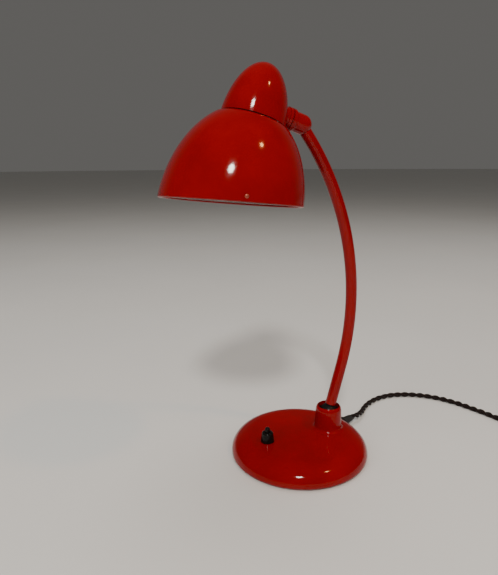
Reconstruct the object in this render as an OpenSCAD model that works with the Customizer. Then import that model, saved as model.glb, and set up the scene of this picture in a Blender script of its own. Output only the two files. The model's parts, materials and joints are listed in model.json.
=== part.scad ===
// Desk lamp: round weighted base, push switch, ball-jointed bowed arm,
// serrated elbow joint and an ellipsoid shade with an oblique rim.
// Millimetres. Origin: centre of the base on the table, +Z up, the head is
// towards -X and the arm joint towards +X.

/* [Base] */
// Largest radius of the base
base_r = 80; // [72:1:92]
// Height of the flat top of the base
base_top = 22.8; // [21:0.2:26]
// Wall of the base shell
base_wall = 3; // [2.4:0.1:3.4]
// Radius of the ballast disc
ballast_r = 71; // [60:1:71.5]

/* [Arm joint] */
// Distance of the arm joint from the centre of the base
boss_x = 39.4; // [38:0.2:42]
// Outer radius of the boss
boss_r = 15.5; // [15:0.1:17]
// Height of the top of the boss
boss_top = 52; // [50:0.5:56]
// Height of the centre of the ball
ball_z = 43; // [42:0.5:44]
// Radius of the ball
ball_r = 11; // [10:0.1:11]
// Radius of the bore in the boss
socket_r = 12.75; // [12.75:0.05:13]

/* [Switch] */
// Distance of the switch from the centre of the base
switch_x = 41.5; // [38:0.5:44]
// Height of the bell above the top of the base
bell_h = 11.6; // [8:0.2:14]
// Radius of the push button
button_r = 2.9; // [2.5:0.1:3.2]

/* [Arm] */
// Outer radius of the arm tube
tube_r = 6.4; // [6:0.1:6.6]
// Wall of the arm tube
tube_wall = 1.4; // [1:0.1:1.6]
// Radius of the bow of the arm
bow_r = 304; // [300:1:308]

/* [Head] */
// Lean of the lamp head in the plane of the arm
head_lean = 18; // [14:0.5:20]
// Turn of the head about the elbow
head_turn = -3.7; // [-8:0.1:8]
// Depth of the elbow axis below the tip of the cap
hub_h = 42; // [41:0.5:43]
// Largest radius of the cap ellipsoid
cap_r = 33.2; // [32:0.2:34]
// Half length of the cap ellipsoid
cap_l = 64; // [60:1:68]
// Largest radius of the shade
shade_r = 71.5; // [70:0.5:76]
// Half length of the shade ellipsoid
shade_l = 102.8; // [100:0.5:106]
// Rim slope, rise over run
rim_slope = 0.2; // [0:0.01:0.24]
// Depth of the middle of the rim below the tip of the cap
rim_h = 139.4; // [137:0.2:146]

/* [Cord] */
// Diameter of the twisted cord
cord_d = 7; // [6:0.5:7]
// Radius of the coil at the middle of its turns
coil_r = 40.5; // [39:0.5:42]

/* [Hidden] */

red = [0.60, 0.01, 0.01];
black = [0.04, 0.04, 0.04];
steel = [0.66, 0.67, 0.68];
brass = [0.75, 0.58, 0.28];

// vertical levels in the base
skirt_z = 1;                         // lower edge of the shell
plate_z0 = 2;                        // foot pad thickness
plate_z1 = 3.5;                      // top of the bottom plate
curl = 3.5;                          // radius of the lower curl
waist_z = skirt_z + curl;            // height of the widest ring
shoulder_a = 23;                     // shoulder half width
shoulder_b = base_top - waist_z;     // shoulder height
ceil_z = base_top - base_wall;       // underside of the flat top
ballast_z1 = 12.5;
post_r = 62;                         // radius of the screw circle
cord_az = 18;                        // azimuth of the cord exit
cord_z = 9;                          // height of the cord exit
cup_z0 = 30;                         // floor of the socket

// arm centre line: a straight foot tangent to a circular bow
bow_cx = -238.9;
bow_cz = 178.4;
ball_dx = boss_x - bow_cx;
ball_dz = ball_z - bow_cz;
ball_dist = sqrt(ball_dx * ball_dx + ball_dz * ball_dz);
foot_len = sqrt(ball_dist * ball_dist - bow_r * bow_r);
foot_lean = -atan2(ball_dz, ball_dx) - acos(bow_r / ball_dist);
bow_top = 39.5;
tube_gap = ball_r - 0.4;             // ball centre to tube end

// head frame: hub centre on the cap axis, then the cap tip above it
hub = [-54.3, 0, 389.3];
seam_h = 56.6;                       // lower edge of the cap
neck_h = 58.2;                       // top of the shade
shade_c = 146.7;                     // centre of the shade ellipsoid
cap_t = 1.2;
shade_t = 1.1;

// cord: route on the table, in the plane and then the height
coil_c = [331, -79];
r = cord_d / 2;
relief_d = 24;                       // length of the tapered relief
ca = cos(cord_az);
sa = sin(cord_az);
function rad(d, z) = [d * ca, d * sa, z];
route = [rad(103, cord_z), rad(113, 8), [119.5, 43.5, 5.6],
  [130, 53.5, r + 0.3], [142, 62, r], [157, 69, r], [175, 73, r],
  [195, 72, r], [215, 65, r],
  [234, 52, r], [249, 35, r], [260, 15, r], [268, -8, r], [275, -33, r],
  [279, -57, r + 0.3], [coil_c[0] - coil_r - 10.5, -79, r + 0.6]];
tail = [[coil_c[0] + coil_r + 10.5, -79, r + 7.8],
  [coil_c[0] + coil_r + 11.5, -64, r + 7.0], [384, -50, 7.4],
  [384.5, -36, 7]];

function unit(v) = v / norm(v);
function cr(a, b, c, d, t) = 0.5 * (2 * b + (c - a) * t
  + (2 * a - 5 * b + 4 * c - d) * t * t
  + (3 * b - a - 3 * c + d) * t * t * t);
function spline(P, k) = let(n = len(P)) concat([for (i = [0:n - 2])
  for (j = [0:k - 1]) cr(i == 0 ? 2 * P[0] - P[1] : P[i - 1], P[i],
    P[i + 1], i + 2 < n ? P[i + 2] : 2 * P[n - 1] - P[n - 2], j / k)],
  [P[n - 1]]);
function dirs(P) = let(n = len(P)) [for (i = [0:n - 1])
  unit(P[min(i + 1, n - 1)] - P[max(i - 1, 0)])];
function sides(T, u, i) = i == len(T) ? [] : let(v = u - (u * T[i]) * T[i],
  w = v / norm(v)) concat([w], sides(T, w, i + 1));

// a closed tube of radius rr swept along the points P
module sweep(P, rr, n) {
  T = dirs(P);
  U = sides(T, abs(T[0][2]) < 0.9 ? [0, 0, 1] : [1, 0, 0], 0);
  m = len(P);
  polyhedron(points = [for (i = [0:m - 1]) for (k = [0:n - 1])
      P[i] + rr * (cos(360 * k / n) * U[i]
        + sin(360 * k / n) * cross(T[i], U[i]))],
    faces = concat([[for (k = [0:n - 1]) k]],
      [for (i = [0:m - 2]) for (k = [0:n - 1]) [i * n + k, (i + 1) * n + k,
        (i + 1) * n + (k + 1) % n, i * n + (k + 1) % n]],
      [[for (k = [n - 1:-1:0]) (m - 1) * n + k]]));
}

module tube(r0, r1, z0, z1) {
  difference() {
    translate([0, 0, z0]) cylinder(r = r1, h = z1 - z0, $fn = 72);
    translate([0, 0, z0 - 1]) cylinder(r = r0, h = z1 - z0 + 2, $fn = 72);
  }
}

module along_x(x0) { translate([x0, 0, 0]) rotate([0, 90, 0]) children(); }

// frame of the elbow, fixed to the arm: X runs from the cap to the elbow
module elbow() { translate(hub) rotate([0, head_lean, 0]) children(); }

// frame of the head: origin at the tip of the cap, -Z down the cap axis
module head() {
  translate(hub) rotate([0, head_lean, 0]) rotate([head_turn, 0, 0])
    translate([0, 0, hub_h]) children();
}

module at_screws() {
  for (a = [60, 180, 300]) rotate([0, 0, a]) translate([post_r, 0, 0])
    children();
}

// ---- base ----
module base_shell() color(red) difference() {
  union() {
    rotate_extrude($fn = 144) polygon(concat([[0, skirt_z]],
      [for (a = [-90:10:0]) [base_r - curl + curl * cos(a),
        waist_z + curl * sin(a)]],
      [for (a = [6:6:90]) [base_r - shoulder_a + shoulder_a * cos(a),
        waist_z + shoulder_b * sin(a)]],
      [[0, base_top]]));
    // boss, flared into the top and rounded at its upper edge
    translate([boss_x, 0, 0]) rotate_extrude($fn = 96) polygon(concat(
      [[0, ceil_z - 2], [boss_r + 3, ceil_z - 2]],
      [for (a = [0:15:90]) [boss_r + 4.5 - 4 * sin(a),
        base_top + 4 - 4 * cos(a)]],
      [for (a = [0:15:90]) [boss_r - 3.5 + 3 * cos(a) + (a == 0 ? 0.2 : 0),
        boss_top - 5 + 5 * sin(a)]],
      [[0, boss_top]]));
  }
  // cavity, open at the bottom inside the skirt
  difference() {
    rotate_extrude($fn = 144) polygon(concat(
      [[0, skirt_z - 1], [72.5, skirt_z - 1], [72.5, plate_z1],
       [base_r - base_wall, plate_z1]],
      [for (a = [0:6:90]) [base_r - shoulder_a + (shoulder_a - base_wall)
        * cos(a), waist_z + (ceil_z - waist_z) * sin(a)]],
      [[0, ceil_z]]));
    at_screws() translate([0, 0, ballast_z1]) cylinder(r = 4.5, h = 20,
      $fn = 32);
  }
  at_screws() translate([0, 0, 4]) cylinder(r = 2, h = 15, $fn = 32);
  // socket, stem hole, switch hole and cord hole
  translate([boss_x, 0, cup_z0]) cylinder(r = socket_r, h = 40, $fn = 72);
  translate([boss_x, 0, 5]) cylinder(r = 6, h = 40, $fn = 48);
  translate([-switch_x, 0, 10]) cylinder(r = 6.1, h = 30, $fn = 48);
  rotate([0, 0, cord_az]) translate([60, 0, cord_z]) rotate([0, 90, 0])
    cylinder(r = 5, h = 40, $fn = 48);
}

module ballast() color([0.25, 0.25, 0.26]) difference() {
  translate([0, 0, plate_z1]) cylinder(r = ballast_r,
    h = ballast_z1 - plate_z1, $fn = 144);
  at_screws() {
    cylinder(r = 2.2, h = 30, $fn = 32);
    translate([0, 0, plate_z1 - 0.01]) cylinder(r1 = 2.7, r2 = 2.2, h = 0.6,
      $fn = 32);
  }
  translate([boss_x, 0, 0]) cylinder(r = 14.5, h = 30, $fn = 72);
  translate([-switch_x, 0, 0]) cylinder(r = 12.5, h = 30, $fn = 72);
  translate([-15, -10, 0]) cube([30, 20, 30]);
  rotate([0, 0, cord_az]) translate([44, -5.5, 0]) cube([40, 11, 30]);
}

module bottom_plate() color(steel) difference() {
  translate([0, 0, plate_z0]) cylinder(r = 72.2, h = plate_z1 - plate_z0,
    $fn = 144);
  at_screws() translate([0, 0, plate_z0 - 0.01]) cylinder(r1 = 4.05,
    r2 = 2.7, h = plate_z1 - plate_z0 + 0.02, $fn = 32);
}

module foot_pad() color([0.05, 0.09, 0.06])
  cylinder(r = 70.5, h = plate_z0, $fn = 144);

module base_screws() color(steel) at_screws() difference() {
  union() {
    translate([0, 0, plate_z0]) cylinder(r1 = 3.9, r2 = 1.95, h = 2,
      $fn = 32);
    translate([0, 0, plate_z0 + 2]) cylinder(r = 1.95, h = 13.5, $fn = 32);
  }
  translate([-5, -0.5, plate_z0 - 1]) cube([10, 1, 1.8]);
}

module terminal_block() color([0.85, 0.83, 0.76]) difference() {
  translate([-13, -8, plate_z1]) cube([26, 16, 9]);
  for (x = [-8.5, 0, 8.5]) for (y = [-4, 4]) translate([x, y, 7])
    cylinder(r = 1.6, h = 10, $fn = 24);
}

module base_leads() color([0.55, 0.1, 0.08]) {
  sweep(spline([rad(66, cord_z), rad(58, cord_z), rad(50, 10.5),
    rad(43, 14.6), rad(34, 15.6), rad(20, 15.6), [9, 4, 15.2]], 2), 1.5, 8);
  sweep([[-7, 0, 14.4], [-20, 0, 14.6], [-30.2, 0, 14.6]], 1.5, 8);
  sweep(spline([[10, -4, 14.5], [18, -3, 15.8], [24.5, -2, 15.6],
    [28.2, -1, 11], [31.5, 0, 7.8], [37, 0, 6.6]], 2), 1.5, 8);
}

// ---- switch ----
module switch_body() color([0.12, 0.09, 0.07]) difference() {
  union() {
    translate([-switch_x, 0, 5]) cylinder(r = 11, h = ceil_z - 5, $fn = 64);
    translate([-switch_x, 0, 12]) cylinder(r = 6, h = base_top + 7 - 12,
      $fn = 48);
  }
  translate([-switch_x, 0, 9]) cylinder(r = 3.25, h = 40, $fn = 48);
}

module switch_ferrule() color(black) translate([-switch_x, 0, base_top])
  difference() {
    rotate_extrude($fn = 72) polygon(concat([[0, 0], [7.7, 0],
      [7.9, 0.5], [7.75, 2], [7.35, 4.5], [6.95, 7], [6.55, bell_h - 2.4]],
      [for (a = [0:18:90]) [4.4 + 2.05 * cos(a), bell_h - 2 + 2 * sin(a)]],
      [[0, bell_h]]));
    translate([0, 0, -1]) cylinder(r = 6.05, h = 8.2, $fn = 48);
    cylinder(r = 3.2, h = 40, $fn = 48);
  }

module switch_spring() color(steel) translate([-switch_x, 0, 0])
  tube(1.6, 2.6, 9.2, 18.4);

module switch_button() color(black) translate([-switch_x, 0, 0]) {
  rotate_extrude($fn = 48) polygon(concat([[0, 18.6], [3.1, 18.6],
    [3.1, 21.5], [button_r, 22], [button_r, base_top + bell_h + 3.4]],
    [for (a = [15:15:75]) [button_r - 1.6 + 1.6 * cos(a),
      base_top + bell_h + 3.4 + 1.6 * sin(a)]],
    [[0, base_top + bell_h + 5.2]]));
}

// ---- swivel in the boss ----
module swivel_cup() color(black) translate([boss_x, 0, 0]) difference() {
  union() {
    translate([0, 0, cup_z0]) cylinder(r = socket_r - 0.05,
      h = ball_z + 3.5 - cup_z0, $fn = 72);
    translate([0, 0, 11]) cylinder(r = 5.95, h = cup_z0 - 10.5, $fn = 48);
  }
  translate([0, 0, ball_z]) sphere(r = ball_r + 0.3, $fn = 72);
  translate([0, 0, ball_z]) cylinder(r1 = ball_r + 0.3,
    r2 = ball_r + 0.5, h = 10, $fn = 72);
  translate([0, 0, 5]) cylinder(r = 3.6, h = 40, $fn = 48);
  translate([0, 20, ball_z]) rotate([90, 0, 0]) cylinder(r = 1.55, h = 40,
    $fn = 32);
}

module swivel_washer() color(steel) translate([boss_x, 0, 0])
  tube(6.05, 10, ceil_z - 1.6, ceil_z - 0.05);

module swivel_nut() color(steel) translate([boss_x, 0, 0]) difference() {
  translate([0, 0, ceil_z - 6.8]) cylinder(r = 9.8, h = 5.2, $fn = 6);
  translate([0, 0, 0]) cylinder(r = 5.95, h = 30, $fn = 48);
}

// ---- arm ----
module arm_ball() color(black) translate([boss_x, 0, ball_z]) difference() {
  union() {
    sphere(r = ball_r, $fn = 96);
    rotate([0, foot_lean, 0]) cylinder(r = tube_r - tube_wall,
      h = ball_r + 12, $fn = 48);
  }
  rotate([0, foot_lean, 0]) translate([0, 0, -3]) cylinder(r = 3,
    h = 40, $fn = 48);
  translate([0, 0, -20]) cylinder(r1 = 10, r2 = 3, h = 20, $fn = 48);
  translate([0, 20, 0]) rotate([90, 0, 0]) cylinder(r = 1.5, h = 40,
    $fn = 32);
}

module trunnion_pins() color(steel) translate([boss_x, 0, ball_z])
  for (s = [-1, 1]) translate([0, s * 8.3, 0]) rotate([90, 0, 0])
    cylinder(r = 1.5, h = 8, center = true, $fn = 32);

// straight foot and bow, solid, of radius rr
module arm_path(rr, d0, a1) {
  translate([boss_x, 0, ball_z]) rotate([0, foot_lean, 0])
    translate([0, 0, d0]) cylinder(r = rr, h = foot_len - d0, $fn = 72);
  translate([bow_cx, 0, bow_cz]) rotate([90, 0, 0]) rotate([0, 0, -foot_lean])
    rotate_extrude(angle = foot_lean + a1, $fn = 288) translate([bow_r, 0])
      circle(r = rr, $fn = 72);
}

module arm_tube() color(red) difference() {
  arm_path(tube_r, tube_gap, bow_top);
  arm_path(tube_r - tube_wall, tube_gap - 1, bow_top + 0.5);
}

module arm_lead() color([0.6, 0.5, 0.35]) arm_path(1.9, 4, bow_top - 1);

// end of the bow: frame with Z along the tube, upwards
module bow_end(a) {
  translate([bow_cx + bow_r * cos(a), 0, bow_cz + bow_r * sin(a)])
    rotate([0, -a, 0]) children();
}

module knuckle() color(red) difference() {
  elbow() {
    along_x(41) cylinder(r1 = 10.8, r2 = 10.1, h = 3, $fn = 96);
    along_x(44) cylinder(r = 10.1, h = 9, $fn = 96);
    translate([53, 0, 0]) sphere(r = 10.1, $fn = 96);
  }
  elbow() {
    along_x(40) cylinder(r = 4.5, h = 7, $fn = 48);
    along_x(46) cylinder(r = 3.9, h = 7, $fn = 48);
  }
  bow_end(bow_top) {
    translate([0, 0, -20]) cylinder(r = tube_r, h = 20, $fn = 72);
    translate([0, 0, -1]) cylinder(r = 4.4, h = 6.5, $fn = 48);
    translate([0, 0, -3.4]) rotate([0, 90, 0]) cylinder(r = 1.5, h = 20,
      $fn = 24);
  }
}

module knuckle_screw() color(steel) bow_end(bow_top)
  translate([0, 0, -3.4]) rotate([0, 90, 0]) difference() {
    translate([0, 0, tube_r]) cylinder(r = 1.45, h = 8.1 - tube_r,
      $fn = 24);
    translate([-0.3, -3, 7.5]) cube([0.6, 6, 2]);
  }

// disc with radial teeth, cut into the face at x1, or at x0 when s is -1
module rosette(x0, x1, bore, s) {
  difference() {
    along_x(x0) cylinder(r = 11.5, h = x1 - x0, $fn = 96);
    along_x(x0 - 1) cylinder(r = bore, h = x1 - x0 + 2, $fn = 48);
    for (a = [0:12:348]) rotate([a, 0, 0])
      translate([s > 0 ? x1 - 0.8 : x0 - 0.8, -0.5, 7])
        cube([1.6, 1, 8]);
  }
}

module arm_rosette() color(red) elbow() rosette(37.3, 41, 4.5, -1);

module pivot_bolt() color(steel) elbow() difference() {
  along_x(22) cylinder(r = 4.5, h = 24.9, $fn = 48);
  along_x(20) cylinder(r = 2.6, h = 30, $fn = 48);
}

module spring_washer() color(steel) elbow() along_x(0)
  tube(4.6, 7.2, 26.3, 27.8);

module pivot_nut() color(steel) elbow() difference() {
  along_x(22.4) cylinder(r = 7.8, h = 3.9, $fn = 6);
  along_x(20) cylinder(r = 4.5, h = 10, $fn = 48);
}

// ---- head ----
module head_rosette() color(red) head() translate([0, 0, -hub_h])
  rosette(33.5, 37, 4.56, 1);

function cap_pts(rr, ll, h0, h1) = let(a1 = acos(1 - (h1 - h0) / ll))
  [for (k = [0:24]) let(a = a1 * k / 24) [rr * sin(a),
    -h0 - ll * (1 - cos(a))]];

module cap_housing() color(red) head() difference() {
  union() {
    rotate_extrude($fn = 144) polygon(concat(
      cap_pts(cap_r, cap_l, 0, seam_h), [[0, -seam_h]]));
    translate([0, 0, -hub_h]) along_x(28) cylinder(r = 10.6, h = 5.5,
      $fn = 72);
  }
  difference() {
    rotate_extrude($fn = 144) polygon(concat(
      cap_pts(cap_r - cap_t, cap_l - cap_t, cap_t, seam_h),
      [[cap_r - cap_t, -seam_h - 1], [0, -seam_h - 1]]));
    translate([0, 0, -hub_h]) along_x(28) cylinder(r = 10.6, h = 5.5,
      $fn = 72);
    for (a = [60, 180, 300]) rotate([0, 0, a]) translate([28.8, 0, -54.8])
      cylinder(r = 3.4, h = 7, $fn = 32);
  }
  translate([0, 0, -hub_h]) along_x(20) cylinder(r = 4.56, h = 20,
    $fn = 48);
  for (a = [60, 180, 300]) rotate([0, 0, a]) translate([27.6, 0, -56])
    cylinder(r = 1.25, h = 7.4, $fn = 24);
}

module mount_plate() color(steel) head() difference() {
  union() {
    translate([0, 0, -56.4]) cylinder(r = 31.2, h = 1.6, $fn = 96);
    translate([0, 0, -neck_h]) cylinder(r = 24, h = 2.5, $fn = 96);
  }
  translate([0, 0, -70]) cylinder(r = 19.05, h = 30, $fn = 96);
  for (a = [60, 180, 300]) rotate([0, 0, a]) translate([27.6, 0, -60])
    cylinder(r = 1.6, h = 10, $fn = 24);
}

module mount_screws() color(steel) head()
  for (a = [60, 180, 300]) rotate([0, 0, a]) translate([27.6, 0, -57.6]) {
    cylinder(r = 2.6, h = 1.2, $fn = 32);
    cylinder(r = 1.2, h = 8.4, $fn = 24);
  }

// half profile of the shade down to its widest ring and beyond
function shade_pts(rr, ll, h0) = let(a0 = asin((shade_c - h0) / ll))
  [for (k = [0:30]) let(a = a0 - (a0 + 8) * k / 30) [rr * cos(a),
    -shade_c + ll * sin(a)]];

module shade() color(red) head() difference() {
  rotate_extrude($fn = 180) polygon(concat([[0, -neck_h]],
    shade_pts(shade_r, shade_l, neck_h), [[0, -shade_c - 12]]));
  rotate_extrude($fn = 180) polygon(concat([[0, -neck_h - shade_t]],
    shade_pts(shade_r - shade_t, shade_l - shade_t, neck_h + shade_t),
    [[shade_r - shade_t, -shade_c - 30], [0, -shade_c - 30]]));
  translate([0, 0, -70]) cylinder(r = 19.3, h = 30, $fn = 96);
  translate([0, 0, -rim_h]) rotate([0, -atan(rim_slope), 0])
    translate([-150, -150, -100]) cube([300, 300, 100]);
  rotate([0, 0, -102.5]) translate([60, 0, -137.2]) rotate([0, 90, 0])
    cylinder(r = 1.25, h = 30, $fn = 24);
}

module shade_rivet() color([0.35, 0.12, 0.1]) head() rotate([0, 0, -102.5])
  translate([0, 0, -137.2]) {
    along_x(69.2) cylinder(r = 1.2, h = 2.6, $fn = 24);
    along_x(71.3) cylinder(r1 = 2.1, r2 = 1.5, h = 0.8, $fn = 32);
    along_x(69.2) cylinder(r = 1.9, h = 0.9, $fn = 32);
  }

module lamp_holder() color([0.1, 0.08, 0.07]) head() difference() {
  union() {
    translate([0, 0, -53.2]) cylinder(r = 17.3, h = 33.2, $fn = 96);
    translate([0, 0, -54.8]) cylinder(r = 22.5, h = 1.8, $fn = 96);
    translate([0, 0, -82]) cylinder(r = 18.9, h = 28, $fn = 96);
  }
  translate([0, 0, -90]) cylinder(r = 14.3, h = 44, $fn = 72);
  for (y = [-7, 7]) translate([4, y, -30]) cylinder(r = 1.7, h = 20,
    $fn = 24);
}

module holder_sleeve() color(brass) head() translate([0, 0, 0])
  tube(13.5, 14.25, -74, -48);

module holder_ring() color([0.1, 0.08, 0.07]) head()
  tube(18.95, 24.5, -66, -neck_h - shade_t);

module bulb_cap() color(brass) head() difference() {
  union() {
    translate([0, 0, -77]) cylinder(r = 13.2, h = 25, $fn = 72);
    translate([0, 0, -52]) cylinder(r1 = 13.2, r2 = 5, h = 3.5, $fn = 48);
    translate([0, 0, -48.5]) cylinder(r = 4.6, h = 1.7, $fn = 48);
  }
  translate([0, 0, -78]) cylinder(r = 12.6, h = 25.5, $fn = 72);
}

// blown bulb, open at its neck inside the cap; d is the wall taken off
function bulb_pts(d) = concat([[12.9 - d, -77], [13.1 - d, -80],
  [14.4 - d, -85], [17.4 - d, -90.5]], [for (a = [34:-8:-86])
    [(22.5 - d) * cos(a), -103 + (22.5 - d) * sin(a)]],
  [[0, -125.5 + d]]);

module bulb_glass() color([0.95, 0.93, 0.88]) head() difference() {
  rotate_extrude($fn = 96) polygon(concat([[0, -77]], bulb_pts(0)));
  rotate_extrude($fn = 96) polygon(concat([[0, -76], [11.9, -76]],
    bulb_pts(1)));
}

module head_lead() color([0.6, 0.5, 0.35]) head()
  sweep(spline([[20.2, 0, -38], [20, 0, -32], [18.6, 0, -25], [15, 0, -18],
    [10, 3, -15.6], [5.5, 6, -17], [4.2, 6.8, -20]], 2), 1.4, 8);

// ---- cord and plug ----
module cord_relief() color(black) rotate([0, 0, cord_az])
  translate([0, 0, cord_z]) difference() {
    along_x(0) rotate_extrude($fn = 48) polygon([[0, 74], [4.9, 74],
      [4.9, 80.6], [6.6, 80.6], [6.6, 82], [5.9, 83], [5.6, 86],
      [4.3, 103], [0, 103]]);
    along_x(60) cylinder(r = r, h = 50, $fn = 32);
  }

module mains_cord() color([0.13, 0.08, 0.06]) {
  sweep(spline(concat([rad(74, cord_z), rad(88, cord_z)], route), 2), r, 8);
  sweep(spline(tail, 3), r, 8);
}

module cord_coil() color([0.13, 0.08, 0.06])
  translate([coil_c[0], coil_c[1], 0]) rotate_extrude($fn = 96)
    polygon([for (q = [[1, 1], [-1, 1], [-1, -1], [1, -1]])
      for (a = [0:30:90]) let(b = a + (q == [1, 1] ? 0 : q == [-1, 1] ? 90
        : q == [-1, -1] ? 180 : 270)) [coil_r + q[0] * 10.5 + r * cos(b),
        7.6 + q[1] * 3.6 + r * sin(b)]]);

module cord_tie() color([0.08, 0.08, 0.08])
  translate([coil_c[0], coil_c[1], 0]) rotate([0, 0, -50])
    difference() {
      translate([coil_r - 15.2, -6, 0]) cube([30.2, 12, 15.2]);
      translate([coil_r - 14.6, -7, 0.5]) cube([29, 14, 14.2]);
    }

module plug_body() color(black) translate([384.6, -36, 7]) {
  difference() {
    union() {
      rotate([-90, 0, 0]) cylinder(r1 = 4.4, r2 = 6, h = 15, $fn = 32);
      hull() for (x = [-9.5, 9.5]) translate([x, 15, 0])
        rotate([-90, 0, 0]) cylinder(r = 6.8, h = 26, $fn = 32);
    }
    rotate([-90, 0, 0]) translate([0, 0, -1]) cylinder(r = r, h = 4,
      $fn = 32);
  }
}

module plug_pins() color(brass) translate([384.6, -36, 7])
  for (x = [-9.3, 9.3]) translate([x, 41, 0]) rotate([-90, 0, 0])
    cylinder(r = 2, h = 19, $fn = 32);

base_shell();
ballast();
bottom_plate();
foot_pad();
base_screws();
terminal_block();
base_leads();
switch_body();
switch_ferrule();
switch_spring();
switch_button();
swivel_cup();
swivel_washer();
swivel_nut();
arm_ball();
trunnion_pins();
arm_tube();
arm_lead();
knuckle();
knuckle_screw();
arm_rosette();
pivot_bolt();
spring_washer();
pivot_nut();
head_rosette();
cap_housing();
mount_plate();
mount_screws();
shade();
shade_rivet();
lamp_holder();
holder_sleeve();
holder_ring();
bulb_cap();
bulb_glass();
head_lead();
cord_relief();
mains_cord();
cord_coil();
cord_tie();
plug_body();
plug_pins();
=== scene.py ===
import json
import math

import bmesh
import bpy
import numpy as np
from mathutils import Matrix, Vector


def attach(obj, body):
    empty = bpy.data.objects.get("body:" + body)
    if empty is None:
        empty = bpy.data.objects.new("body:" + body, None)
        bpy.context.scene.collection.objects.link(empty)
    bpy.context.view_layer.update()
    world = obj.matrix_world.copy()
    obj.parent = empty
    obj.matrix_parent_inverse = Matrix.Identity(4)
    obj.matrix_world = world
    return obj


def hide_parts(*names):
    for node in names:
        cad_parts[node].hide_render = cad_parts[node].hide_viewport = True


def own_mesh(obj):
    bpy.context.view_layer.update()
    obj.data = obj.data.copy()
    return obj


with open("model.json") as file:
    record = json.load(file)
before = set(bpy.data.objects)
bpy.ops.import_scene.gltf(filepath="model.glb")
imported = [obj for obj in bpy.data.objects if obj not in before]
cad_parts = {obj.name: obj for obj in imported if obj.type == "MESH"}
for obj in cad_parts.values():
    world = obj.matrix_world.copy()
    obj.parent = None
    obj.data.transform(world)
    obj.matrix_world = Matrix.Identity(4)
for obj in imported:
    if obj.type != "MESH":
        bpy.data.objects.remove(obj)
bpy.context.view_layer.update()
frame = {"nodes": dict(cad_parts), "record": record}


scene = bpy.context.scene
MM = 0.001

# ------------------------------------------------------------------ camera
PITCH, ROLL = math.radians(13.78), math.radians(0.34)
ahead = Vector((0.3907, 0.9205, 0)).normalized()
fwd = ahead * math.cos(PITCH) - Vector((0, 0, 1)) * math.sin(PITCH)
right0 = ahead.cross(Vector((0, 0, 1))).normalized()
up0 = right0.cross(fwd)
right = right0 * math.cos(ROLL) - up0 * math.sin(ROLL)
up = right.cross(fwd)
cam_data = bpy.data.cameras.new("camera")
cam_data.lens = 32.43
cam_data.sensor_width = 36.0
cam_data.clip_start, cam_data.clip_end = 0.01, 100.0
cam = bpy.data.objects.new("camera", cam_data)
scene.collection.objects.link(cam)
m = Matrix((right, up, -fwd)).transposed().to_4x4()
m.translation = Vector((-0.2707, -0.4881, 0.3375))
cam.matrix_world = m
scene.camera = cam


# --------------------------------------------------------------- materials
class Tree:
    """A node material on a Principled shader, in the piece's own coordinates."""

    def __init__(self, name, **sockets):
        self.mat = bpy.data.materials.new(name)
        self.mat.use_nodes = True
        self.nt = self.mat.node_tree
        self.bsdf = self.nt.nodes["Principled BSDF"]
        self.coord = self.nt.nodes.new("ShaderNodeTexCoord")
        for key, value in sockets.items():
            self.bsdf.inputs[key.replace("_", " ")].default_value = value

    def link(self, a, b):
        self.nt.links.new(a, b)

    def mapped(self, scale=(1, 1, 1), source="Object"):
        n = self.nt.nodes.new("ShaderNodeMapping")
        n.inputs["Scale"].default_value = scale
        self.link(self.coord.outputs[source], n.inputs["Vector"])
        return n.outputs["Vector"]

    def noise(self, scale, detail=3.0, rough=0.55, vector=None, distortion=0.0):
        n = self.nt.nodes.new("ShaderNodeTexNoise")
        n.inputs["Scale"].default_value = scale
        n.inputs["Detail"].default_value = detail
        n.inputs["Roughness"].default_value = rough
        n.inputs["Distortion"].default_value = distortion
        self.link(vector or self.coord.outputs["Object"], n.inputs["Vector"])
        return n.outputs["Fac"]

    def voronoi(self, scale, vector=None, feature="F1"):
        n = self.nt.nodes.new("ShaderNodeTexVoronoi")
        n.feature = feature
        n.inputs["Scale"].default_value = scale
        self.link(vector or self.coord.outputs["Object"], n.inputs["Vector"])
        return n.outputs["Distance"]

    def math(self, op, a, b=None, clamp=False):
        n = self.nt.nodes.new("ShaderNodeMath")
        n.operation = op
        n.use_clamp = clamp
        for k, x in enumerate((a, b)):
            if x is None:
                continue
            if isinstance(x, (int, float)):
                n.inputs[k].default_value = x
            else:
                self.link(x, n.inputs[k])
        return n.outputs["Value"]

    def ramp(self, fac, stops, kind="LINEAR"):
        n = self.nt.nodes.new("ShaderNodeValToRGB")
        n.color_ramp.interpolation = kind
        while len(n.color_ramp.elements) < len(stops):
            n.color_ramp.elements.new(0.5)
        for e, (p, c) in zip(n.color_ramp.elements, stops):
            e.position = p
            e.color = (c, c, c, 1) if isinstance(c, (int, float)) else (*c, 1)
        self.link(fac, n.inputs["Fac"])
        return n.outputs["Color"]

    def mix(self, fac, a, b):
        n = self.nt.nodes.new("ShaderNodeMix")
        n.data_type = "RGBA"
        for k, x in ((0, fac), (6, a), (7, b)):
            if isinstance(x, (int, float)):
                n.inputs[k].default_value = x
            elif isinstance(x, tuple):
                n.inputs[k].default_value = (*x, 1)
            else:
                self.link(x, n.inputs[k])
        return n.outputs[2]

    def bump(self, height, strength, distance, normal=None):
        n = self.nt.nodes.new("ShaderNodeBump")
        n.inputs["Strength"].default_value = strength
        n.inputs["Distance"].default_value = distance
        self.link(height, n.inputs["Height"])
        if normal is not None:
            self.link(normal, n.inputs["Normal"])
        return n.outputs["Normal"]

    def color(self, x):
        self.link(x, self.bsdf.inputs["Base Color"])

    def rough(self, x):
        self.link(x, self.bsdf.inputs["Roughness"])

    def normal(self, x):
        self.link(x, self.bsdf.inputs["Normal"])


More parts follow.
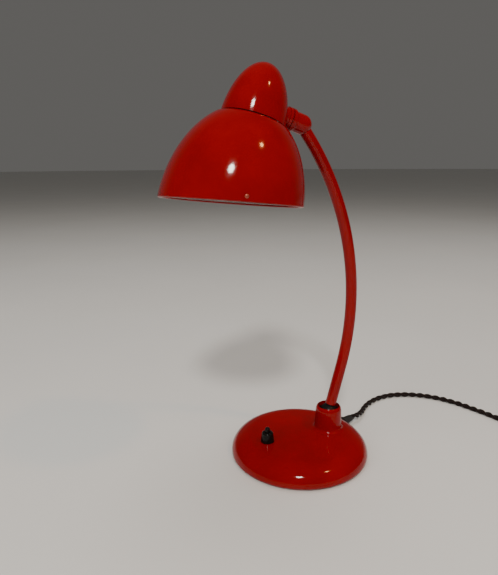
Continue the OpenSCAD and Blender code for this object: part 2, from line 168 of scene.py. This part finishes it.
def enamel(name, deep, bright, rough=0.14, coat=0.6):
    """Stoved enamel over spun steel: orange peel, slight sag, dust nibs and cloudy gloss."""
    t = Tree(name, Roughness=rough, Coat_Weight=coat, Coat_Roughness=0.04,
             Coat_IOR=1.4, IOR=1.5, Specular_IOR_Level=0.16)
    cloud = t.noise(22, 4, 0.6)
    fine = t.noise(160, 3, 0.5)
    nibs = t.ramp(t.voronoi(330), [(0.0, 1.0), (0.07, 1.0), (0.11, 0.0), (1.0, 0.0)])
    shade_mix = t.ramp(cloud, [(0.35, 0.0), (0.7, 1.0)])
    base = t.mix(shade_mix, deep, bright)
    worn = t.ramp(t.noise(55, 6, 0.7, distortion=0.4), [(0.0, 0.0), (0.70, 0.0), (0.80, 0.35), (1.0, 0.5)])
    t.color(t.mix(worn, base, tuple(c * 0.62 for c in deep)))
    t.rough(t.ramp(t.math("ADD", t.math("MULTIPLY", cloud, 0.6), t.math("MULTIPLY", fine, 0.4)),
                   [(0.3, rough * 0.75), (0.72, rough * 1.7)]))
    peel = t.bump(t.noise(430, 2, 0.45), 0.10, 0.00022)
    peel = t.bump(t.noise(38, 2, 0.5), 0.10, 0.0010, peel)
    t.normal(t.bump(nibs, 0.10, 0.00006, peel))
    return t.mat


RED = enamel("red_enamel", (0.195, 0.0, 0.0012), (0.245, 0.0, 0.0016), 0.09, 0.14)
BLACK_PAINT = enamel("black_enamel", (0.005, 0.005, 0.005), (0.010, 0.0095, 0.009), 0.30, 0.1)


def inner_paint():
    t = Tree("shade_inner", Roughness=0.36, Metallic=0.35, Coat_Weight=0.15, Coat_Roughness=0.2)
    grain = t.noise(900, 2, 0.6)
    cloud = t.noise(16, 4, 0.6)
    t.color(t.mix(t.ramp(cloud, [(0.3, 0.0), (0.75, 1.0)]), (0.50, 0.50, 0.49), (0.66, 0.66, 0.64)))
    t.rough(t.ramp(cloud, [(0.3, 0.30), (0.8, 0.46)]))
    t.normal(t.bump(grain, 0.18, 0.00012))
    return t.mat


INNER = inner_paint()


def bakelite(name, a, b, rough=0.16):
    t = Tree(name, Roughness=rough, Coat_Weight=0.08, Coat_Roughness=0.06, Specular_IOR_Level=0.16)
    mottle = t.noise(140, 5, 0.65, distortion=0.8)
    t.color(t.mix(t.ramp(mottle, [(0.35, 0.0), (0.7, 1.0)]), a, b))
    t.rough(t.ramp(t.noise(60, 4, 0.6), [(0.3, rough * 0.8), (0.75, rough * 2.0)]))
    scratch = t.noise(1.0, 3, 0.5, t.mapped((2600, 240, 900)))
    t.normal(t.bump(scratch, 0.06, 0.00006, t.bump(t.noise(300, 2, 0.5), 0.06, 0.0001)))
    return t.mat


BAKELITE = bakelite("black_bakelite", (0.0035, 0.003, 0.0028), (0.009, 0.0065, 0.0055))
CERAMIC = bakelite("white_ceramic", (0.62, 0.60, 0.54), (0.74, 0.72, 0.66), 0.34)


def metal(name, a, b, rough, stretch=(900, 900, 60), metallic=1.0, tarnish=(0.12, 0.10, 0.08), much=0.35):
    t = Tree(name, Metallic=metallic, Roughness=rough)
    brush = t.noise(1.0, 4, 0.6, t.mapped(stretch))
    cloud = t.noise(70, 5, 0.65)
    base = t.mix(t.ramp(brush, [(0.3, 0.0), (0.7, 1.0)]), a, b)
    spots = t.ramp(cloud, [(0.0, 0.0), (0.58, 0.0), (0.75, much), (1.0, much)])
    t.color(t.mix(spots, base, tarnish))
    t.rough(t.ramp(brush, [(0.25, rough * 0.7), (0.75, rough * 1.5)]))
    t.normal(t.bump(brush, 0.16, 0.00008))
    return t.mat


STEEL = metal("steel", (0.42, 0.43, 0.44), (0.60, 0.61, 0.62), 0.30)
SPRING = metal("spring_steel", (0.34, 0.35, 0.37), (0.50, 0.51, 0.53), 0.24)
BRASS = metal("brass", (0.56, 0.39, 0.14), (0.74, 0.55, 0.24), 0.28, tarnish=(0.26, 0.17, 0.07))
RIVET = metal("rivet_metal", (0.30, 0.05, 0.035), (0.38, 0.10, 0.06), 0.34, metallic=0.55)
IRON = metal("ballast_iron", (0.07, 0.07, 0.075), (0.13, 0.13, 0.13), 0.62, (300, 300, 300), 0.8)


def soft_black(name, a, b, rough):
    t = Tree(name, Roughness=rough)
    t.color(t.mix(t.ramp(t.noise(90, 4, 0.6), [(0.35, 0.0), (0.7, 1.0)]), a, b))
    t.rough(t.ramp(t.noise(240, 3, 0.5), [(0.3, rough * 0.85), (0.8, min(1.0, rough * 1.15))]))
    t.normal(t.bump(t.noise(1500, 2, 0.5), 0.2, 0.0001))
    return t.mat


RUBBER = soft_black("rubber", (0.012, 0.012, 0.012), (0.022, 0.021, 0.020), 0.62)
SHEATH = soft_black("lead_sheath", (0.40, 0.30, 0.16), (0.52, 0.41, 0.24), 0.7)


def felt():
    t = Tree("foot_felt", Roughness=0.95, Sheen_Weight=0.4, Sheen_Roughness=0.6)
    fibre = t.noise(1.0, 6, 0.75, t.mapped((1400, 1400, 1400)), distortion=1.6)
    t.color(t.mix(fibre, (0.014, 0.024, 0.017), (0.045, 0.065, 0.048)))
    t.normal(t.bump(fibre, 0.7, 0.0004))
    return t.mat


FELT = felt()


def cloth():
    """Plaited cotton: two families of threads crossing on the strand, from its own UV in metres and turns, with painted
    shade darkening the valleys between the threads.
    """
    t = Tree("cord_cloth", Roughness=0.82, Sheen_Weight=0.05, Sheen_Roughness=0.5, Specular_IOR_Level=0.18)
    sep = t.nt.nodes.new("ShaderNodeSeparateXYZ")
    t.link(t.coord.outputs["UV"], sep.inputs["Vector"])
    along = t.math("MULTIPLY", sep.outputs["X"], 2 * math.pi * 620)
    round_ = t.math("MULTIPLY", sep.outputs["Y"], 2 * math.pi * 8)
    a = t.math("SINE", t.math("ADD", along, round_))
    b = t.math("SINE", t.math("SUBTRACT", along, round_))
    weave = t.math("MAXIMUM", a, b)
    # painted shade: the valleys between the crossing threads are made darker than the thread crowns; the same mask also
    # shapes the weave bump
    valley_shade = t.ramp(weave, [(0.0, 0.0), (0.35, 0.25), (1.0, 1.0)])
    fleck = t.ramp(t.noise(900, 3, 0.6), [(0.45, 0.0), (0.7, 1.0)])
    dark = t.mix(fleck, (0.010, 0.0042, 0.0030), (0.036, 0.013, 0.009))
    # colour: painted shade in the weave valleys, flecked thread colour on the crowns
    t.color(t.mix(valley_shade, (0.006, 0.0035, 0.003), dark))
    fuzz = t.bump(t.noise(2600, 2, 0.6), 0.3, 0.00012)
    t.normal(t.bump(valley_shade, 0.75, 0.00028, fuzz))
    return t.mat


CLOTH = cloth()


def glass():
    t = Tree("bulb_glass", Roughness=0.12, Transmission_Weight=0.35, IOR=1.45,
             Subsurface_Weight=0.5, Subsurface_Scale=0.004)
    t.color(t.mix(t.noise(40, 3, 0.5), (0.90, 0.89, 0.85), (0.96, 0.95, 0.92)))
    t.rough(t.ramp(t.noise(120, 3, 0.5), [(0.3, 0.10), (0.8, 0.20)]))
    return t.mat


GLASS = glass()

BY_SLOT = {
    "red_enamel": RED, "black_enamel": BLACK_PAINT, "black_bakelite": BAKELITE,
    "white_ceramic": CERAMIC, "steel": STEEL, "spring_steel": SPRING, "brass": BRASS,
    "ballast_iron": IRON, "foot_felt": FELT, "rubber": RUBBER, "cord_cloth": CLOTH,
    "lead_sheath": SHEATH, "bulb_glass": GLASS, "rivet_metal": RIVET,
}
node_slot = {s["node"]: s["material_slot"] for s in frame["record"]["subparts"]}


def paint(obj, *mats):
    obj.data.materials.clear()
    for x in mats:
        obj.data.materials.append(x)


for name, obj in frame["nodes"].items():
    paint(obj, BY_SLOT[node_slot[name]])


# ------------------------------------------------------------- mesh helpers
def mesh_object(name, verts, faces, smooth=True, angle=32, matrix=None):
    me = bpy.data.meshes.new(name)
    me.from_pydata([tuple(v) for v in verts], [], faces)
    me.validate()
    bm = bmesh.new()
    bm.from_mesh(me)
    bmesh.ops.recalc_face_normals(bm, faces=bm.faces)
    bm.to_mesh(me)
    bm.free()
    if matrix is not None:
        me.transform(matrix)
    ob = bpy.data.objects.new(name, me)
    scene.collection.objects.link(ob)
    if smooth:
        me.shade_smooth()
        me.set_sharp_from_angle(angle=math.radians(angle))
    return ob


def lathe(name, profile, n=96, matrix=None, angle=32, closed=False):
    """A profile of (radius, height), in metres, turned about Z. closed joins its last point to its first."""
    verts, rows = [], []
    for rad, z in profile:
        if rad < 1e-7:
            rows.append([len(verts)])
            verts.append((0, 0, z))
        else:
            rows.append(list(range(len(verts), len(verts) + n)))
            verts += [(rad * math.cos(2 * math.pi * k / n), rad * math.sin(2 * math.pi * k / n), z) for k in range(n)]
    faces = []
    pairs = list(zip(rows, rows[1:])) + ([(rows[-1], rows[0])] if closed else [])
    for a, b in pairs:
        for k in range(n):
            q = [a[k % len(a)], a[(k + 1) % len(a)], b[(k + 1) % len(b)], b[k % len(b)]]
            q = list(dict.fromkeys(q))
            if len(q) > 2:
                faces.append(q)
    return mesh_object(name, verts, faces, matrix=matrix, angle=angle)


def arc(cx, cz, rad, a0, a1, n):
    return [(cx + rad * math.cos(math.radians(a0 + (a1 - a0) * k / n)),
             cz + rad * math.sin(math.radians(a0 + (a1 - a0) * k / n))) for k in range(n + 1)]


def mm(points):
    return [tuple(c * MM for c in p) for p in points]


def place(obj, body, slot_name, *nodes, mats=None):
    paint(obj, *(mats or [BY_SLOT[slot_name]]))
    if nodes:
        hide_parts(*nodes)
    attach(obj, body)
    return obj


def smooth_copy(node, name, angle=28, bevel=None):
    """The node's own shape with its split seams welded, so that its curved faces shade as one."""
    src = frame["nodes"][node]
    bm = bmesh.new()
    bm.from_mesh(src.data)
    bmesh.ops.remove_doubles(bm, verts=bm.verts, dist=2e-6)
    bmesh.ops.dissolve_degenerate(bm, edges=bm.edges, dist=1e-7)
    me = bpy.data.meshes.new(name)
    bm.to_mesh(me)
    bm.free()
    ob = bpy.data.objects.new(name, me)
    scene.collection.objects.link(ob)
    for attr in ("custom_normal", "sharp_edge", "sharp_face"):
        if me.attributes.get(attr):
            me.attributes.remove(me.attributes[attr])
    me.shade_smooth()
    me.set_sharp_from_angle(angle=math.radians(angle))
    return ob


def catmull(points, k):
    P = [Vector(p) for p in points]
    out = []
    for i in range(len(P) - 1):
        a = 2 * P[0] - P[1] if i == 0 else P[i - 1]
        b, c = P[i], P[i + 1]
        d = P[i + 2] if i + 2 < len(P) else 2 * P[-1] - P[-2]
        for j in range(k):
            s = j / k
            out.append(0.5 * (2 * b + (c - a) * s + (2 * a - 5 * b + 4 * c - d) * s * s
                              + (3 * b - a - 3 * c + d) * s ** 3))
    return out + [P[-1]]


def resample(points, step):
    P = np.array([tuple(p) for p in points], float)
    along = np.concatenate([[0], np.cumsum(np.linalg.norm(np.diff(P, axis=0), axis=1))])
    at = np.linspace(0, along[-1], max(2, int(round(along[-1] / step)) + 1))
    return np.stack([np.interp(at, along, P[:, i]) for i in range(3)], axis=1), at


def frames(P):
    """Tangents and a pair of sideways directions that don't spin, along a line."""
    T = np.gradient(P, axis=0)
    T /= np.linalg.norm(T, axis=1)[:, None]
    U = np.zeros_like(T)
    u = np.cross(T[0], [0, 0, 1.0])
    u /= np.linalg.norm(u)
    for i, t in enumerate(T):
        u = u - t * (u @ t)
        u /= np.linalg.norm(u)
        U[i] = u
    return T, U, np.cross(T, U)


# -------------------------------------------------------------------- cord
# The same round numbers as the part's own route, in millimetres.
CORD_R = 3.5
EXIT_AZ, EXIT_Z = math.radians(18), 9.0


def rad_pt(d, z):
    return (d * math.cos(EXIT_AZ), d * math.sin(EXIT_AZ), z)


COIL_C, COIL_R = (331.0, -79.0), 40.5
route = [rad_pt(76, EXIT_Z), rad_pt(88, EXIT_Z), rad_pt(103, EXIT_Z), rad_pt(113, 8), (119.5, 43.5, 5.6),
         (130, 53.5, 3.8), (142, 62, 3.5), (157, 69, 3.5), (175, 73, 3.5), (195, 72, 3.5),
         (215, 65, 3.5), (234, 52, 3.5), (249, 35, 3.5), (260, 15, 3.5), (268, -8, 3.5),
         (275, -33, 3.5), (279, -57, 3.8), (COIL_C[0] - COIL_R - 10.5, -79, 4.1)]
line = catmull(route, 10)[:-1]
turns, N = 5.5, 5.5 * 72
for i in range(int(N) + 1):
    s = turns * i / N
    a = math.pi + 2 * math.pi * s
    if s <= 3:
        rr, z = COIL_R + 10.5 - 7 * s, 4.1
    else:
        rr, z = COIL_R - 10.5 + 8.4 * (s - 3), 11.3
    blend_ = min(1.0, max(0.0, (s - 2.82) / 0.36))
    z = 4.1 + 7.2 * blend_ * blend_ * (3 - 2 * blend_)
    line.append(Vector((COIL_C[0] + rr * math.cos(a), COIL_C[1] + rr * math.sin(a), z)))
tail = [(COIL_C[0] + COIL_R + 10.5, -79, 11.3), (COIL_C[0] + COIL_R + 11.5, -64, 10.5), (384, -50, 7.4), (384.5, -36, 7),
        (384.6, -34, 7)]
line += catmull(tail, 10)[1:]
P, s_along = resample([p * MM for p in line], 0.0021)
T, U, V = frames(P)
strand_r, off_r, pitch, sides_n = 1.78 * MM, 1.72 * MM, 0.0215, 10
verts, faces, uvs = [], [], []
for strand in range(2):
    start = len(verts)
    phase = 2 * math.pi * s_along / pitch + math.pi * strand
    C = P + off_r * (np.cos(phase)[:, None] * U + np.sin(phase)[:, None] * V)
    t2, u2, v2 = frames(C)
    for k in range(sides_n):
        pass
    ang = np.arange(sides_n) * 2 * math.pi / sides_n
    ring = C[:, None, :] + strand_r * (np.cos(ang)[None, :, None] * u2[:, None, :] + np.sin(ang)[None, :, None] * v2[:, None, :])
    verts += ring.reshape(-1, 3).tolist()
    m_ = len(C)
    for i in range(m_ - 1):
        for k in range(sides_n):
            faces.append((start + i * sides_n + k, start + i * sides_n + (k + 1) % sides_n,
                          start + (i + 1) * sides_n + (k + 1) % sides_n, start + (i + 1) * sides_n + k))
            s0, s1 = float(s_along[i]), float(s_along[i + 1])
            uvs += [(s0, k / sides_n), (s0, (k + 1) / sides_n), (s1, (k + 1) / sides_n), (s1, k / sides_n)]
    for end in (0, m_ - 1):
        faces.append(tuple(start + end * sides_n + k for k in range(sides_n)))
        uvs += [(0.0, 0.0)] * sides_n
me = bpy.data.meshes.new("mains_cord_twisted")
me.from_pydata(verts, [], faces)
layer = me.uv_layers.new(name="UVMap")
layer.data.foreach_set("uv", np.array(uvs, np.float32).ravel())
me.shade_smooth()
cord_obj = bpy.data.objects.new("mains_cord_twisted", me)
scene.collection.objects.link(cord_obj)
place(cord_obj, "base", "cord_cloth", "mains_cord", "cord_coil")

# strain relief: ribbed rubber sleeve, tapered
rib = [(0.0035, 0.0745), (0.0049, 0.0745), (0.0049, 0.0806), (0.0062, 0.0806), (0.0066, 0.0809), (0.0066, 0.0817), (0.0062, 0.0821)]
for k in range(5):
    x0, r0 = 0.0831 + 0.0026 * k, 0.0052 - 0.00018 * k
    rib += [(r0 - 0.0006, x0 - 0.0004), (r0, x0), (r0, x0 + 0.0011), (r0 - 0.0006, x0 + 0.0015)]
rib += [(0.0042, 0.0968), (0.0041, 0.0974), (0.0036, 0.0976), (0.0035, 0.0973)]
Mexit = Matrix.Translation((0, 0, 0.009)) @ Matrix.Rotation(EXIT_AZ, 4, "Z") @ Matrix.Rotation(math.pi / 2, 4, "Y")
relief = place(lathe("relief_ribbed", rib, 40, matrix=Mexit, angle=40, closed=True), "base", "rubber", "cord_relief")

# tie: soft strap round the coil's turns
strap = []
for j in range(5):
    w = -6 + 12 * j / 4
    half_w, half_h, rc = 14.9, 7.4, 4.2
    loop = []
    for (cx, cz, a0) in ((half_w - rc, half_h - rc, 0), (-half_w + rc, half_h - rc, 90), (-half_w + rc, -half_h + rc, 180), (half_w - rc, -half_h + rc, 270)):
        loop += arc(cx, cz, rc, a0, a0 + 90, 6)
    strap.append([(COIL_R + x, w, 7.6 + z) for x, z in loop])
n_l = len(strap[0])
sv = [p for ring in strap for p in ring]
sf = [(j * n_l + k, j * n_l + (k + 1) % n_l, (j + 1) * n_l + (k + 1) % n_l, (j + 1) * n_l + k) for j in range(4) for k in range(n_l)]
Mtie = Matrix.Translation((COIL_C[0] * MM, COIL_C[1] * MM, 0)) @ Matrix.Rotation(math.radians(-50), 4, "Z")
tie = mesh_object("coil_strap", mm(sv), sf, matrix=Mtie)
solid = tie.modifiers.new("thick", "SOLIDIFY")
solid.thickness, solid.offset = 0.0006, 0.0
bev = tie.modifiers.new("edge", "BEVEL")
bev.width, bev.segments, bev.limit_method = 0.0002, 2, "ANGLE"
place(tie, "base", "rubber", "cord_tie")

# plug: moulded body lofted along +Y, with a ribbed tail and a grip waist
PL = Vector((384.6, -36, 7))
sections = []
for k in range(6):
    y0 = 0.2 + 2.3 * k
    rr = 4.5 + 0.22 * k
    for dy, dr in ((0, -0.5), (0.35, 0), (1.25, 0), (1.6, -0.5)):
        sections.append((y0 + dy, rr + dr, rr + dr, 2.0))
for y, a, b, p in ((14.4, 6.0, 5.9, 2.1), (15.2, 8.6, 6.0, 2.4), (16.4, 12.5, 6.25, 2.8), (18.5, 15.2, 6.5, 3.2), (22, 15.9, 6.7, 3.4),
                   (27, 15.2, 6.5, 3.4), (31, 15.2, 6.5, 3.4), (36, 16.0, 6.75, 3.5), (39.5, 16.1, 6.75, 3.6), (40.7, 15.7, 6.4, 3.6), (41.0, 15.0, 5.8, 3.6)):
    sections.append((y, a, b, p))
pv, pf, n_p = [], [], 64
for y, a, b, p in sections:
    for k in range(n_p):
        th = 2 * math.pi * k / n_p
        c, s_ = math.cos(th), math.sin(th)
        pv.append((PL.x + a * math.copysign(abs(c) ** (2 / p), c), PL.y + y, PL.z + b * math.copysign(abs(s_) ** (2 / p), s_)))
for j in range(len(sections) - 1):
    for k in range(n_p):
        pf.append((j * n_p + k, j * n_p + (k + 1) % n_p, (j + 1) * n_p + (k + 1) % n_p, (j + 1) * n_p + k))
pf.append(tuple(range(n_p)))
pf.append(tuple((len(sections) - 1) * n_p + k for k in range(n_p)))
plug = place(mesh_object("plug_moulding", mm(pv), pf, angle=45), "base", "black_bakelite", "plug_body")
# pins: each with an insulating sleeve and a rounded tip
pin_parts = []
for sx in (-9.3, 9.3):
    Mp = Matrix.Translation(((PL.x + sx) * MM, (PL.y + 41) * MM, PL.z * MM)) @ Matrix.Rotation(-math.pi / 2, 4, "X")
    prof = [(0, -0.4), (2.0, -0.4), (2.0, 9.4), (1.95, 9.6), (1.95, 17.2)] + arc(0.4, 17.4, 1.6, 0, 90, 6) + [(0, 19.0)]
    pin_parts.append(lathe("pin_part", mm(prof), 32, matrix=Mp, angle=35))
bpy.ops.object.select_all(action="DESELECT")
for o in pin_parts:
    o.select_set(True)
bpy.context.view_layer.objects.active = pin_parts[0]
bpy.ops.object.join()
pins = pin_parts[0]
pins.name = pins.data.name = "plug_pins_round"
place(pins, "base", "brass", "plug_pins", mats=[BRASS, BAKELITE])
for poly in pins.data.polygons:
    poly.material_index = 1 if poly.center.y < (PL.y + 41 + 9.5) * MM else 0

# -------------------------------------------------------------------- head
HUB = Vector((-54.3, 0, 389.3)) * MM
M_ELBOW = Matrix.Translation(HUB) @ Matrix.Rotation(math.radians(18), 4, "Y")
M_HEAD = M_ELBOW @ Matrix.Rotation(math.radians(-3.7), 4, "X") @ Matrix.Translation((0, 0, 0.042))
NECK_H, C_H, RIM_H, SLOPE = 58.2, 146.7, 139.4, 0.2


def shell_r(h, out):
    a, l = (71.5, 102.8) if out else (70.4, 101.7)
    return a * math.sqrt(max(0.0, 1 - ((C_H - h) / l) ** 2))


n_phi, rows_n = 288, 46
sv, sf, mat_of = [], [], []
for j in range(n_phi):
    phi = 2 * math.pi * j / n_phi
    h_rim = RIM_H
    for _ in range(20):
        h_rim = RIM_H - SLOPE * shell_r(h_rim, True) * math.cos(phi)
    prof = []
    # crown edge, rounded, then the outer wall down to the bead
    top_r = shell_r(NECK_H, True)
    prof += [(19.3, -NECK_H), (24.5, -NECK_H), (top_r - 2.0, -NECK_H), (top_r - 1.2, -NECK_H - 0.1),
             (top_r - 0.35, -NECK_H - 0.45), (top_r + 0.25, -NECK_H - 1.0)]
    h_end = h_rim - 1.7
    for k in range(rows_n + 1):
        q = (k / rows_n) ** 1.25
        h = NECK_H + 1.7 + (h_end - NECK_H - 1.7) * q
        prof.append((shell_r(h, True), -h))
    n_out = len(prof)
    cr_, ch_ = shell_r(h_rim, True) - 1.5, h_rim - 1.5
    for a in (-12, -28, -45, -62, -79, -96, -113, -130, -150, -172, -195, -218):
        prof.append((cr_ + 1.5 * math.cos(math.radians(a)), -ch_ + 1.5 * math.sin(math.radians(a))))
    n_bead = len(prof)
    h_in_end, h_in0 = h_rim - 3.2, NECK_H + 1.1
    for k in range(rows_n + 1):
        q = 1 - (k / rows_n) ** 0.8
        q = max(0.0, q)
        h = h_in0 + (h_in_end - h_in0) * q
        prof.append((shell_r(max(h, h_in0 + 0.02), False), -h))
    prof += [(24.5, -h_in0), (19.3, -h_in0)]
    for rad, z in prof:
        sv.append((rad * math.cos(phi), rad * math.sin(phi), z))
n_prof = len(prof)
for j in range(n_phi):
    for k in range(n_prof):
        a, b = j * n_prof + k, j * n_prof + (k + 1) % n_prof
        c, d = ((j + 1) % n_phi) * n_prof + (k + 1) % n_prof, ((j + 1) % n_phi) * n_prof + k
        sf.append((a, b, c, d))
        mat_of.append(0 if k < n_bead - 2 else 1)
me = bpy.data.meshes.new("shade_spun")
me.from_pydata(mm(sv), [], sf)
me.transform(M_HEAD)
me.shade_smooth()
me.set_sharp_from_angle(angle=math.radians(50))
shade = bpy.data.objects.new("shade_spun", me)
scene.collection.objects.link(shade)
bm = bmesh.new()
bm.from_mesh(me)
bmesh.ops.recalc_face_normals(bm, faces=bm.faces)
bm.to_mesh(me)
bm.free()
place(shade, "head", "red_enamel", "shade", mats=[RED, INNER])
me.polygons.foreach_set("material_index", mat_of)
me.update()

cap = place(smooth_copy("cap_housing", "cap_spun"), "head", "red_enamel", "cap_housing")

# bulb: opal envelope as one smooth revolve
bp = [(12.9, -77), (13.0, -78.5), (13.2, -81), (13.9, -83.8), (15.2, -86.8), (17.0, -89.9)]
bp += arc(0, -103, 22.5, 36, -90, 30)[0:]
bp[-1] = (0, -125.5)
bulb = place(lathe("bulb_envelope", mm(bp), 96, matrix=M_HEAD, angle=60), "head", "bulb_glass", "bulb_glass")

# rivet: domed head outside, small washer inside
Mr = M_HEAD @ Matrix.Rotation(math.radians(-102.5), 4, "Z") @ Matrix.Translation((0, 0, -0.1372)) @ Matrix.Rotation(math.pi / 2, 4, "Y")
rv = [(0, 69.2), (1.9, 69.2), (1.9, 70.0), (1.2, 70.1), (1.2, 71.3), (2.05, 71.35)] + [(2.05 * math.cos(math.radians(a)), 71.35 + 0.85 * math.sin(math.radians(a))) for a in (15, 30, 45, 60, 75)] + [(0, 72.2)]
rivet = place(lathe("rivet_dome", mm(rv), 32, matrix=Mr, angle=40), "head", "rivet_metal", "shade_rivet")

# -------------------------------------------------------------------- base
base = place(smooth_copy("base_shell", "base_spun"), "base", "red_enamel", "base_shell")

Msw = Matrix.Translation((-0.0415, 0, 0.0228))
fp = [(6.05, 0.0), (7.6, 0.0), (7.85, 0.25), (7.9, 0.7), (7.82, 1.2), (7.6, 2.6), (7.35, 4.3), (7.08, 6.0), (6.85, 7.6), (6.62, 8.9)]
fp += [(4.4 + 2.1 * math.cos(math.radians(a)), 9.55 + 2.05 * math.sin(math.radians(a))) for a in range(0, 91, 10)]
fp += [(3.7, 11.6), (3.4, 11.45), (3.22, 11.1), (3.2, 7.2), (6.05, 7.2)]
ferrule = place(lathe("switch_bell", mm(fp), 96, matrix=Msw, angle=38, closed=True), "base", "black_bakelite", "switch_ferrule")
kp = [(0, -4.2), (3.1, -4.2), (3.1, -1.3), (2.9, -0.8), (2.9, 14.8)]
kp += [(1.5 + 1.4 * math.cos(math.radians(a)), 15.3 + 1.4 * math.sin(math.radians(a))) for a in range(10, 91, 10)]
kp += [(0.9, 16.78), (0, 16.8)]
# the switch's coil spring, at its rest length; the real one shortens as the button goes down
turn_n, wire_r = 24, 0.42
SP = np.array([(-41.5 + 2.1 * math.cos(2 * math.pi * i / turn_n), 2.1 * math.sin(2 * math.pi * i / turn_n),
                9.2 + wire_r + (9.2 - 2 * wire_r) * i / (7 * turn_n)) for i in range(7 * turn_n + 1)])
_, su, sw = frames(SP)
sv, sf = [], []
for i in range(len(SP)):
    for k in range(8):
        a = 2 * math.pi * k / 8
        sv.append(SP[i] + wire_r * (math.cos(a) * su[i] + math.sin(a) * sw[i]))
for i in range(len(SP) - 1):
    for k in range(8):
        sf.append((i * 8 + k, i * 8 + (k + 1) % 8, (i + 1) * 8 + (k + 1) % 8, (i + 1) * 8 + k))
sf += [tuple(range(8)), tuple((len(SP) - 1) * 8 + k for k in range(8))]
spring = place(mesh_object("switch_coil_spring", mm(sv), sf), "base", "spring_steel", "switch_spring")
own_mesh(spring)
knob = place(lathe("switch_knob", mm(kp), 64, matrix=Msw, angle=40), "button", "black_bakelite", "switch_button")

# ------------------------------------------------------------ floor, lights
verts, faces = [(0, 0, 0)], []
rings = [0.25, 0.5, 1, 2, 4, 9, 20]
for rr in rings:
    verts += [(rr * math.cos(2 * math.pi * k / 64), rr * math.sin(2 * math.pi * k / 64), 0) for k in range(64)]
for k in range(64):
    faces.append((0, 1 + k, 1 + (k + 1) % 64))
    for j in range(len(rings) - 1):
        a, b = 1 + 64 * j, 1 + 64 * (j + 1)
        faces.append((a + k, b + k, b + (k + 1) % 64, a + (k + 1) % 64))
floor = mesh_object("floor", verts, faces, smooth=False)
ft = Tree("pale_floor", Roughness=0.55)
ft.color(ft.mix(ft.noise(3.0, 4, 0.5), (0.66, 0.65, 0.62), (0.72, 0.71, 0.68)))
ft.normal(ft.bump(ft.noise(260, 3, 0.5), 0.06, 0.0004))
paint(floor, ft.mat)


def area(name, where, at, size, power, color=(1, 1, 1), shape="DISK"):
    data = bpy.data.lights.new(name, "AREA")
    data.shape, data.size, data.energy, data.color = shape, size, power, color
    ob = bpy.data.objects.new(name, data)
    scene.collection.objects.link(ob)
    ob.location = where
    ob.rotation_euler = (Vector(at) - Vector(where)).to_track_quat("-Z", "Y").to_euler()
    return ob


area("key", (-0.90, -1.75, 2.15), (0, 0, 0.25), 0.36, 52, (1.0, 0.96, 0.90))
area("warm", (0.92, -1.05, 2.20), (0, 0, 0.25), 0.16, 8, (1.0, 0.50, 0.20))
for soft in (area("soft_left", (-2.2, -0.4, 1.5), (0, 0, 0.2), 1.8, 14, (1.0, 0.98, 0.95)),
             area("soft_right", (2.1, -0.2, 1.3), (0, 0, 0.2), 1.5, 8, (0.96, 0.98, 1.0)),
             area("soft_front", (-0.6, -2.4, 0.9), (0, 0, 0.2), 1.6, 11, (1.0, 0.98, 0.96)),
             area("soft_top", (0.0, 0.5, 2.4), (0, 0, 0.1), 1.6, 19)):
    soft.visible_glossy = False
world = bpy.data.worlds.new("studio")
scene.world = world
world.use_nodes = True
world.node_tree.nodes["Background"].inputs["Color"].default_value = (0.50, 0.485, 0.46, 1)
world.node_tree.nodes["Background"].inputs["Strength"].default_value = 0.24
